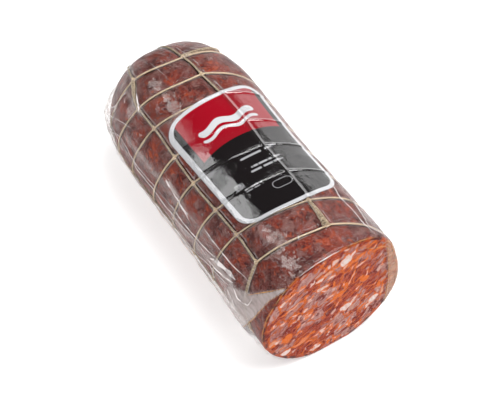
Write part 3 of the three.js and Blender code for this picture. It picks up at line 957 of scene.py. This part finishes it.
# Redder stretches of the casing: station, angle and reach
RUST = [(9, 88, 11), (19, 105, 6), (40, 144.5, 5), (166, 148.5, 3.5), (172, 126, 5),
        (170, 115, 5), (179, 102, 5), (148.5, 148.5, 6), (195, 147.5, 4), (126, 146.5, 4),
        (100, 153.5, 5), (57, 147, 4), (177, 70, 6), (158, 69, 5), (61, 170.5, 3)]
MEAT_COLUMNS = 300
MEAT_ROWS = 236
CAP_ROWS = 3
CUT_COLUMNS = 440
CUT_ROWS = 96
RIM_LEVEL = -0.75
CUT_INSET = 0.5
CUT_DEPTH = 1.6
CUT_TURNS_DOWN = 0.96           # past this share of its rows the cut's slab turns down its edge
CUT_MIDDLE = np.array([LENGTH, 0, DEPTH * girth(LENGTH)])
CUT_GRAIN = 36                  # how the mince leans, in degrees

# Pieces that show on the cut: across, up, half-length, half-width, turn, and how fat they are
CUT_PIECES = [
    (8.6, 83.3, 4.4, 4.2, 25, 1), (14, 87, 2.6, 1.1, 45, 1), (20.7, 72, 4, 1.1, 20, 0.8),
    (0, 87.5, 2.5, 1.8, 60, 0.6), (-4.6, 79.5, 4.4, 1.2, 15, 0.3), (-10.5, 76, 3, 1.3, 15, 0.9),
    (-8, 67.5, 4.4, 1.6, 10, 0.7), (10.7, 35, 4.2, 3, 15, 1), (16.5, 39, 3, 1.1, 40, 1),
    (32.5, 28.5, 4.4, 2.8, 60, 1), (28, 24, 3, 1.4, 30, 0.8), (-38, 72.5, 2.6, 1.1, 25, 1),
    (-32.5, 75, 3.4, 0.6, 25, 0.6), (-7.6, 23, 1.8, 1.7, 25, 0.8), (-11.5, 7.5, 3.6, 1.3, 10, 0.9),
    (-37, 19.5, 4.4, 2.3, 12, 1), (-34.5, 34.5, 3.6, 3.2, 25, 0.05), (-24.3, 22.5, 5, 1.5, 12, 0.15),
    (23.6, 54.5, 2.8, 2.3, 10, 0), (3.6, 51, 4.2, 1.5, 15, 0.05), (-29.5, 63.5, 5.4, 0.7, 18, 0.5),
    (-21.6, 54, 1.3, 1.1, 30, 0.8), (13.5, 62, 5.2, 0.8, 65, 0.4), (39, 33, 4.4, 0.8, 85, 0.4),
    (26, 59, 2.6, 0.6, 65, 0.9), (-46, 37, 3.4, 2.2, 40, 0.25),
    (11, 77.5, 3.4, 1.1, 30, 0), (18, 79.5, 3.6, 0.9, 30, 0.1), (3, 82, 3, 0.8, 30, 0),
]
# Stretches of plain red lean: across, up and reach
LEAN_PATCHES = [(18, 60, 15), (-20, 28, 10), (30, 48, 9), (14, 48, 8), (12, 77, 7)]
SMALL_PIECES = 70


def scattered_pieces():
    """Small bits of fat and oily meat, spread over the cut by a seeded draw."""
    draw = np.random.default_rng(11)
    pieces = []
    for _ in range(SMALL_PIECES):
        share = math.sqrt(draw.random()) * 0.94
        turn = draw.random() * 360
        across, up = section(np.array([turn]))[0] * share
        length = draw.uniform(0.7, 2.2)
        width = length * draw.uniform(0.2, 0.45)
        lean = draw.normal(CUT_GRAIN, 22)
        pieces.append((across, up + DEPTH, length, width, lean, 0.8 if draw.random() < 0.5 else 0.0))
    return pieces


def cut_marks(spots):
    """Distances outside the nearest bit of fat or oily meat, how fat it is, and shares of plain lean."""
    push = np.stack([lumps(spots, 4.0, 21), lumps(spots, 4.0, 22)], -1) * 1.5
    flat = spots[:, 1:] + push
    edges = []
    pieces = CUT_PIECES + scattered_pieces()
    for across, up, length, width, turn, _ in pieces:
        turn = math.radians(turn)
        off = flat - (across, up)
        u = off @ (math.cos(turn), math.sin(turn))
        v = off @ (-math.sin(turn), math.cos(turn))
        edges.append((np.hypot(u / length, v / width) - 1) * width)
    closest = np.argmin(edges, axis=0)
    fatness = np.array([piece[-1] for piece in pieces])[closest]
    lean = np.max([bell(np.hypot(flat[:, 0] - across, flat[:, 1] - up), reach)
                   for across, up, reach in LEAN_PATCHES], axis=0)
    return np.clip(np.min(edges, axis=0), -3, 3), fatness, lean


def make_meat():
    bm = bmesh.new()
    rows = MEAT_ROWS + CAP_ROWS

    def place(u, v):
        station, angle = net_place(u, np.minimum(v * rows / MEAT_ROWS, 1))
        points = surface(station, angle)[0]
        spots = lifted(station, angle, meat_level(station, angle, points))
        inwards = ease(v * rows, MEAT_ROWS, rows)[:, None]
        centre = lifted(np.zeros(1), np.zeros(1), np.zeros(1))[0]
        centre[1:] = SHIFT[1], DEPTH - SEAT
        cap = spots - (CUT_INSET, 0, 0) * np.minimum(inwards * 3, 1)
        turn = over_top(angle)
        rust = np.max([bell(np.hypot(station - place, (turn - middle) * MM_PER_DEGREE), reach)
                       for place, middle, reach in RUST], axis=0)
        return (cap + (centre - (CUT_INSET + 1, 0, 0) - cap) * inwards,
                np.minimum(*net_distances(station, angle)), station, rust)

    carry(bm, MEAT_COLUMNS, rows, place, ("to_cord", "to_cut", "rust"))
    return finished(bm, "salami_meat", casing_finish(), "bagged_salami")


def make_cut():
    bm = bmesh.new()

    def place(u, v):
        angle = u * 360
        share = np.clip(v / CUT_TURNS_DOWN, 0, 1)
        under = np.clip((v - CUT_TURNS_DOWN) / (1 - CUT_TURNS_DOWN), 0, 1)
        rim, normal = surface(np.zeros(len(angle)), angle)
        rim = rim + normal * RIM_LEVEL
        spots = CUT_MIDDLE + (rim - CUT_MIDDLE) * share[:, None]
        edge_of_fat, fatness, lean = cut_marks(spots)
        relief = 0.16 * lumps(spots, 2.2, 31, 3) + 0.12 * lumps(spots, 7, 32)
        relief = relief + 0.2 * ease(-edge_of_fat, -0.3, 0.3)
        edge = ease(share, 0.955, 1.0)
        spots[:, 0] += relief * (1 - edge) - 0.45 * edge - CUT_DEPTH * ease(under, 0, 0.34)
        spots[:, 1:] += (CUT_MIDDLE[1:] - spots[:, 1:]) * ease(under, 0.34, 1)[:, None]
        red_rim = ease(share + 0.012 * lumps(spots, 5, 33), 0.985, 1.0)
        return settle(spots, np.full(len(angle), RIM_LEVEL)), edge_of_fat, fatness, lean, red_rim * 0.5

    carry(bm, CUT_COLUMNS, CUT_ROWS, place, ("to_fat", "fatness", "lean", "rim"))
    return finished(bm, "cut_face", cut_finish())


# The net as twisted cord

def through(places, count):
    """A smooth line through places, in even steps."""
    places = np.array(places, dtype=float)
    way = np.append(0, np.cumsum(np.linalg.norm(np.diff(places, axis=0), axis=-1)))
    lean = np.gradient(places, way, axis=0)
    marks = np.linspace(0, way[-1], count)
    i = np.clip(np.searchsorted(way, marks, side="right") - 1, 0, len(way) - 2)
    step = (way[i + 1] - way[i])[:, None]
    s = (marks - way[i])[:, None] / step
    return ((2 * s ** 3 - 3 * s ** 2 + 1) * places[i] + (s ** 3 - 2 * s ** 2 + s) * step * lean[i]
            + (3 * s ** 2 - 2 * s ** 3) * places[i + 1] + (s ** 3 - s ** 2) * step * lean[i + 1])


def evenly(path, normals, step):
    """The same path in even steps."""
    way = np.append(0, np.cumsum(np.linalg.norm(np.diff(path, axis=0), axis=-1)))
    count = max(int(round(way[-1] / step)), 4)
    marks = np.linspace(0, way[-1], count + 1)
    path = np.stack([np.interp(marks, way, path[:, i]) for i in range(3)], -1)
    return path, unit(np.stack([np.interp(marks, way, normals[:, i]) for i in range(3)], -1))


def cord_frames(path, normals, closed):
    if closed:
        along = np.roll(path[:-1], -1, axis=0) - np.roll(path[:-1], 1, axis=0)
        along = np.concatenate([along, along[:1]])
    else:
        along = np.gradient(path, axis=0)
    side = unit(np.cross(along, normals))
    return side, unit(np.cross(side, along))


def add_cord(bm, path, normals, radius, pitch, sides=10, closed=False):
    """A two-ply cord: its section has two lobes that turn once in each pitch."""
    path, normals = evenly(path, normals, 0.5)
    rows = len(path) - 1
    side, up = cord_frames(path, normals, closed)
    length = rows * 0.5
    half_turns = max(round(2 * length / pitch), 1)
    taper = np.ones(rows + 1)
    if not closed:
        ends = np.minimum(np.arange(rows + 1), np.arange(rows + 1)[::-1])
        taper = np.sqrt(np.clip(ends / 2, 0, 1))

    def place(u, v):
        row = np.rint(v * rows).astype(int)
        corner = 2 * np.pi * (np.rint(u * sides) % sides) / sides
        out = radius * (0.66 + 0.34 * np.abs(np.cos(corner))) * taper[row]
        turn = corner + np.pi * half_turns * row / rows
        return path[row] + side[row] * (out * np.cos(turn))[:, None] + up[row] * (out * np.sin(turn))[:, None]

    carry(bm, sides, rows, place)


def add_winding(bm, path, normals, reach, pitch, cord):
    """A thinner cord wound round a path, at a reach that changes from its start to its end."""
    path, normals = evenly(path, normals, 0.2)
    side, up = cord_frames(path, normals, False)
    turn = (2 * np.pi * np.arange(len(path)) * 0.2 / pitch)[:, None]
    out = side * np.cos(turn) + up * 0.8 * np.sin(turn)
    path = path + out * np.linspace(*reach, len(path))[:, None]
    add_cord(bm, path, unit(out), cord["radius"], cord["pitch"], sides=8)


def hoop_path(hoop, angles, level):
    stations = hoop_station(hoop, angles)
    angles = angles + turned(stations, angles)
    normals = surface(stations, angles)[1]
    wobble = 0.08 * np.sin(np.radians(angles * 7 + hoop * 50))
    return lifted(stations + 3 * wobble, angles, np.full(len(angles), level) + wobble), normals


def string_path(string, stations, level):
    angles = string_angle(string, stations)
    normals = surface(stations, angles)[1]
    return lifted(stations, angles, np.full(len(stations), level)), normals


def crossing(hoop, string):
    """Station where a hoop meets a string."""
    return hoop_station(hoop, np.array([STRING_ANGLES[string] + 0.01]))[0]


STRING_GREASE = 0.75                        # hoops and knots are dry
WINDING_GREASE = 0.45
KNOT = {"half_length": 1.7, "reach": 1.05, "pitch": 1.5, "level": 0.0}
END_KNOT = {"radius": 2.0, "turns": 3, "lift": 1.0, "cord": 0.8, "pitch": 4.0}


def grease(bm, share, first=0):
    """Marks the corners from a first one on as greasy."""
    layer = bm.verts.layers.float.get("greasy") or bm.verts.layers.float.new("greasy")
    for corner in list(bm.verts)[first:]:
        corner[layer] = share


def make_twine():
    bm = bmesh.new()
    for hoop in range(len(HOOPS)):
        path, normals = hoop_path(hoop, np.linspace(0, 360, 721), HOOP_CORD["level"])
        add_cord(bm, path, normals, HOOP_CORD["radius"], HOOP_CORD["pitch"], closed=True)
    hoop_corners = len(bm.verts)
    for string in range(len(STRING_ANGLES)):
        start = crossing(0, string) - 1.0
        stations = station_at(np.linspace(0, 1, 1500))
        path, normals = string_path(string, stations[stations >= start], STRING_CORD["level"])
        add_cord(bm, path, normals, STRING_CORD["radius"], STRING_CORD["pitch"])
    grease(bm, STRING_GREASE, hoop_corners)
    return finished(bm, "twine_net", twine_finish(), "twine")


def add_end_knot(bm):
    """The knot where the strings meet, as a cord that winds round the far apex."""
    turn = np.linspace(0, 2 * np.pi * END_KNOT["turns"], 160)
    apex = lifted(np.array([LENGTH]), np.zeros(1), np.array([END_KNOT["lift"]]))[0]
    around = np.stack([np.cos(turn), np.sin(turn)], -1) * (1 - 0.18 * np.sin(turn * 0.9))[:, None]
    ring = np.column_stack([0.5 * np.sin(turn * 0.7), END_KNOT["radius"] * around])
    add_cord(bm, apex + ring, np.tile((-1.0, 0.0, 0.0), (len(ring), 1)), END_KNOT["cord"], END_KNOT["pitch"])


def make_knots():
    bm = bmesh.new()
    for places, start, end in THICK:
        station, angle = through(places, 160).T
        normals = surface(station, angle)[1]
        path = lifted(station, angle, np.full(len(station), 0.1))
        for pitch in (1.9, -2.7):
            add_winding(bm, path, normals, (start, end), pitch, WINDING_CORD)
    grease(bm, WINDING_GREASE)
    for hoop in range(len(HOOPS)):
        for string in range(len(STRING_ANGLES)):
            middle = crossing(hoop, string)
            run = np.linspace(middle - KNOT["half_length"], middle + KNOT["half_length"], 24)
            path, normals = string_path(string, run, KNOT["level"])
            add_winding(bm, path, normals, (KNOT["reach"], KNOT["reach"]), KNOT["pitch"], WINDING_CORD)
    add_end_knot(bm)
    return finished(bm, "twine_knots", bpy.data.materials["net_twine"], "twine")


# Label and film

LABEL_COLUMNS = 120
LABEL_ROWS = 170
FILM_COLUMNS = 330
FILM_ROWS = 262
FACE_COLUMNS = 330
FACE_ROWS = 60
FILM_GLOSS = 0.45
FACE_GLOSS = 0.07
FOLD_EDGE = 0.36
OILY_EDGE = 0.3
# The fold down the right of the cut: heights, and how far across it lies at each
FACE_FOLD = ([0, 20, 45, 77, 90], [37, 40.5, 42.5, 39, 38])
FACE_HAZE = 0.6
# Oily edges of film on the cut, as places across and up, and painted highlights along its rim, as angles
CUT_EDGES = [
    [(39.4, 77.5), (41.8, 60), (42.6, 45), (40.8, 20)],
    [(34, 80), (39, 83), (44, 73), (46, 64)],
    [(15, 93.5), (26.7, 84.6), (39, 77.5), (44, 72)],
]
RIM_EDGE = (84, 120)
OILY_RIM_EDGES = [(52, 84), (120, 200)]


def make_label():
    bm = bmesh.new()
    length = LABEL["length"]
    layer = bm.loops.layers.uv.new("print")

    def spot(u, v):
        inset = v * length
        short = np.maximum(LABEL["corner"] - np.minimum(inset, length - inset), 0)
        cut = LABEL["corner"] - np.sqrt(LABEL["corner"] ** 2 - short ** 2)
        share = (2 * u - 1) * (1 - cut / MM_PER_DEGREE / LABEL["half_angle"])
        flare = LABEL["left_flare"] * np.maximum(share, 0) * v
        station = blend(label_end(LABEL_NEAR, share), label_end(LABEL_FAR, share), v)
        return station, LABEL["middle"] + LABEL["half_angle"] * share + flare, share

    def place(u, v):
        station, angle, share = spot(u, v)
        level = LABEL_LEVEL + LABEL_THICKNESS + label_ridge(station, angle)
        return lifted(station, angle, level), (share + 1) / 2, v

    carry(bm, LABEL_COLUMNS, LABEL_ROWS, place, ("across", "along"))
    across = bm.verts.layers.float["across"]
    along = bm.verts.layers.float["along"]
    for face in bm.faces:
        for loop in face.loops:
            loop[layer].uv = (loop.vert[across], loop.vert[along])
    bmesh.ops.reverse_faces(bm, faces=bm.faces)
    bmesh.ops.solidify(bm, geom=bm.faces, thickness=LABEL_THICKNESS)
    return finished(bm, "label_print", label_finish(), "label")


def make_film():
    bm = bmesh.new()

    def place(u, v):
        station, angle = net_place(u, v)
        points = surface(station, angle)[0]
        level, haze = film_state(station, angle, points)
        on_label = ease(-label_outline(station, angle), -1, 1)
        turn = over_top(angle)
        return (lifted(station, angle, level), haze, *net_offsets(station, angle), on_label,
                film_shine(station, turn, on_label), glare_share(station, turn),
                bump_of([GATHERED], station, turn))

    carry(bm, FILM_COLUMNS, FILM_ROWS, place,
          ("haze", "to_hoop", "to_string", "on_label", "shine", "glare", "gathered"))
    finish = film_finish("bag_film", FILM_GLOSS, 1.0)
    return finished(bm, "bag_film", finish, closed=False)


def on_cut(across, up, lift):
    """Points in front of the cut at places across and up it."""
    spots = np.stack([np.full(len(across), LENGTH + lift), across, up], -1)
    return settle(spots, np.zeros(len(across)))


def make_film_face():
    """The film over the cut, down from the rim."""
    bm = bmesh.new()

    def place(u, v):
        angle = u * 360
        rim, normal = surface(np.zeros(len(angle)), angle)
        level, haze = film_state(np.zeros(len(angle)), angle, rim)
        rim = rim + normal * level[:, None]
        spots = CUT_MIDDLE + (rim - CUT_MIDDLE) * v[:, None]
        crinkle = 1 - np.abs(lumps(spots, 9, 41)) * 2.2
        loose = ease(spots[:, 1] - np.interp(spots[:, 2], *FACE_FOLD), -0.9, 0.9)
        spots[:, 0] += (0.75 + 0.2 * ease(crinkle, 0.2, 1) + 0.5 * loose) * ease(v, 1.0, 0.97)
        haze = np.maximum(haze * ease(v, 0.9, 1.0) * 0.3, FACE_HAZE * loose * (0.8 + 0.2 * crinkle))
        return settle(spots, level), haze, loose, np.ones(len(angle))

    carry(bm, FACE_COLUMNS, FACE_ROWS, place, ("haze", "oil", "shine"))
    bmesh.ops.reverse_faces(bm, faces=bm.faces)
    finish = film_finish("bag_film_on_cut", FACE_GLOSS, 0.5)
    return finished(bm, "bag_film_face", finish, closed=False)


def add_bead(bm, path, normals, radius, seed, flatness=0.6):
    """A thin uneven bead that fades out at its ends."""
    path, normals = evenly(path, normals, 0.6)
    rows = len(path) - 1
    side, up = cord_frames(path, normals, False)
    swell = 0.75 + 0.6 * lumps(path, 9, seed)
    thick = radius * np.clip(swell, 0.3, 1.3) * np.sin(np.pi * np.linspace(0, 1, rows + 1)) ** 0.5

    def place(u, v):
        row = np.rint(v * rows).astype(int)
        turn = 2 * np.pi * (np.rint(u * 6) % 6) / 6
        return (path[row] + side[row] * (thick[row] * np.cos(turn))[:, None]
                + up[row] * (flatness * thick[row] * np.sin(turn))[:, None])

    carry(bm, 6, rows, place)


def film_path(places, lift=0.05):
    """A line on the film through places (station, angle)."""
    line = through(places, 120)
    station, angle = np.maximum(line[:, 0], 0), line[:, 1]
    points, normals = surface(station, angle)
    level = film_state(station, angle, points)[0]
    return lifted(station, angle, level + lift), normals


def rim_path(first, last):
    """A line on the film along the rim of the cut, between two angles."""
    return film_path([(0, first), (0, (first + last) / 2), (0, last)])


def make_fold_highlights():
    # White beads on the fold crests, along the rim and at the glints: painted highlights on the film.
    bm = bmesh.new()
    for seed, (places, _, rise) in enumerate(FOLDS):
        add_bead(bm, *film_path(places), FOLD_EDGE * rise, 50 + seed)
    add_bead(bm, *rim_path(*RIM_EDGE), FOLD_EDGE, 70)
    for seed, (places, radius) in enumerate(GLINTS):
        add_bead(bm, *film_path(places, 0.3), radius, 60 + seed, 0.3 / radius)
    return finished(bm, "painted_fold_highlights", edge_finish("painted_fold_highlight", (0.92, 0.85, 0.84)))


def make_oily_edges():
    bm = bmesh.new()
    for seed, places in enumerate(OILY_EDGES):
        add_bead(bm, *film_path(places), OILY_EDGE, 80 + seed)
    for seed, places in enumerate(CUT_EDGES):
        across, up = through(places, 60).T
        path = on_cut(across, up, 1.5)
        add_bead(bm, path, np.tile((1.0, 0.0, 0.0), (len(path), 1)), OILY_EDGE, 90 + seed)
    for first, last in OILY_RIM_EDGES:
        add_bead(bm, *rim_path(first, last), OILY_EDGE, 75)
    return finished(bm, "film_oily_edges", edge_finish("film_oily_edge", (0.62, 0.3, 0.09)))


# Floor, light and camera

FLOOR_SIZE = 6.0
FLOOR_DROP = 0.0003
FLOOR_GLOW = 0.45
CAMERA = {"turn": -31.76, "rise": 50.18, "distance": 1113.3, "aim": (0.7375, 0.9013, 49.2), "right": 8.73,
          "up": -13.11, "lens": 120.07, "sensor": 36}


def direction(turn, rise):
    turn, rise = math.radians(turn), math.radians(rise)
    return Vector((math.cos(turn) * math.cos(rise), math.sin(turn) * math.cos(rise), math.sin(rise)))


def make_floor():
    bm = bmesh.new()
    bmesh.ops.create_grid(bm, x_segments=4, y_segments=4, size=FLOOR_SIZE / 2)
    bmesh.ops.translate(bm, verts=bm.verts, vec=(0, 0, -FLOOR_DROP))
    mesh = bpy.data.meshes.new("studio_floor")
    bm.to_mesh(mesh)
    bm.free()
    mesh.materials.append(floor_finish())
    floor = bpy.data.objects.new("studio_floor", mesh)
    bpy.context.scene.collection.objects.link(floor)


def softbox(name, turn, rise, distance, size, radiance):
    light = bpy.data.lights.new(name, "AREA")
    light.shape = "RECTANGLE"
    light.size, light.size_y = size
    light.energy = radiance * math.pi * size[0] * size[1]
    lamp = bpy.data.objects.new(name, light)
    towards = direction(turn, rise)
    lamp.location = towards * distance
    lamp.rotation_euler = towards.to_track_quat("Z", "Y").to_euler()
    bpy.context.scene.collection.objects.link(lamp)


# Light: a dim room, with a bright backdrop at the right that fades out past an angle from its middle
ROOM_GLOW = 0.12
BACKDROP = {"turn": 120, "glow": 1.3, "fades": (0.72, 0.80)}
# Softboxes: name, turn, rise, distance, size and radiance
SOFTBOXES = [
    ("key_softbox", 50, 68, 1.3, (1.0, 1.0), 6.2),
    ("glare_softbox", 216, 45, 1.2, (0.46, 0.46), 4.4),
    ("fill_softbox", 285, 38, 1.4, (1.0, 0.8), 2.2),
]


def make_light():
    world = bpy.data.worlds.new("studio")
    bpy.context.scene.world = world
    world.use_nodes = True
    tree = world.node_tree
    place = tree.nodes.new("ShaderNodeTexCoord")
    facing = tree.nodes.new("ShaderNodeVectorMath")
    facing.operation = "DOT_PRODUCT"
    facing.inputs[1].default_value = direction(BACKDROP["turn"], 0)
    glow = tree.nodes.new("ShaderNodeMapRange")
    for name, value in zip(("From Min", "From Max", "To Min", "To Max"),
                           (*BACKDROP["fades"], ROOM_GLOW, BACKDROP["glow"])):
        glow.inputs[name].default_value = value
    tree.links.new(place.outputs["Generated"], facing.inputs[0])
    tree.links.new(facing.outputs["Value"], glow.inputs["Value"])
    tree.links.new(glow.outputs["Result"], tree.nodes["Background"].inputs["Color"])
    for box in SOFTBOXES:
        softbox(*box)


def make_camera():
    back = direction(CAMERA["turn"], CAMERA["rise"])
    right = Vector((-math.sin(math.radians(CAMERA["turn"])), math.cos(math.radians(CAMERA["turn"])), 0))
    up = back.cross(right)
    eye = Vector(CAMERA["aim"]) + back * CAMERA["distance"] + right * CAMERA["right"] + up * CAMERA["up"]
    data = bpy.data.cameras.new("camera")
    data.sensor_width = CAMERA["sensor"]
    data.lens = CAMERA["lens"]
    data.clip_start = 0.05
    camera = bpy.data.objects.new("camera", data)
    camera.matrix_world = Matrix.Translation(eye * MM) @ Matrix((right, up, back)).transposed().to_4x4()
    bpy.context.scene.collection.objects.link(camera)
    bpy.context.scene.camera = camera
    bpy.context.scene.view_settings.view_transform = "Standard"


make_camera()
make_floor()
make_light()
make_meat()
make_cut()
make_twine()
make_knots()
make_label()
make_film()
make_film_face()
make_fold_highlights()
make_oily_edges()
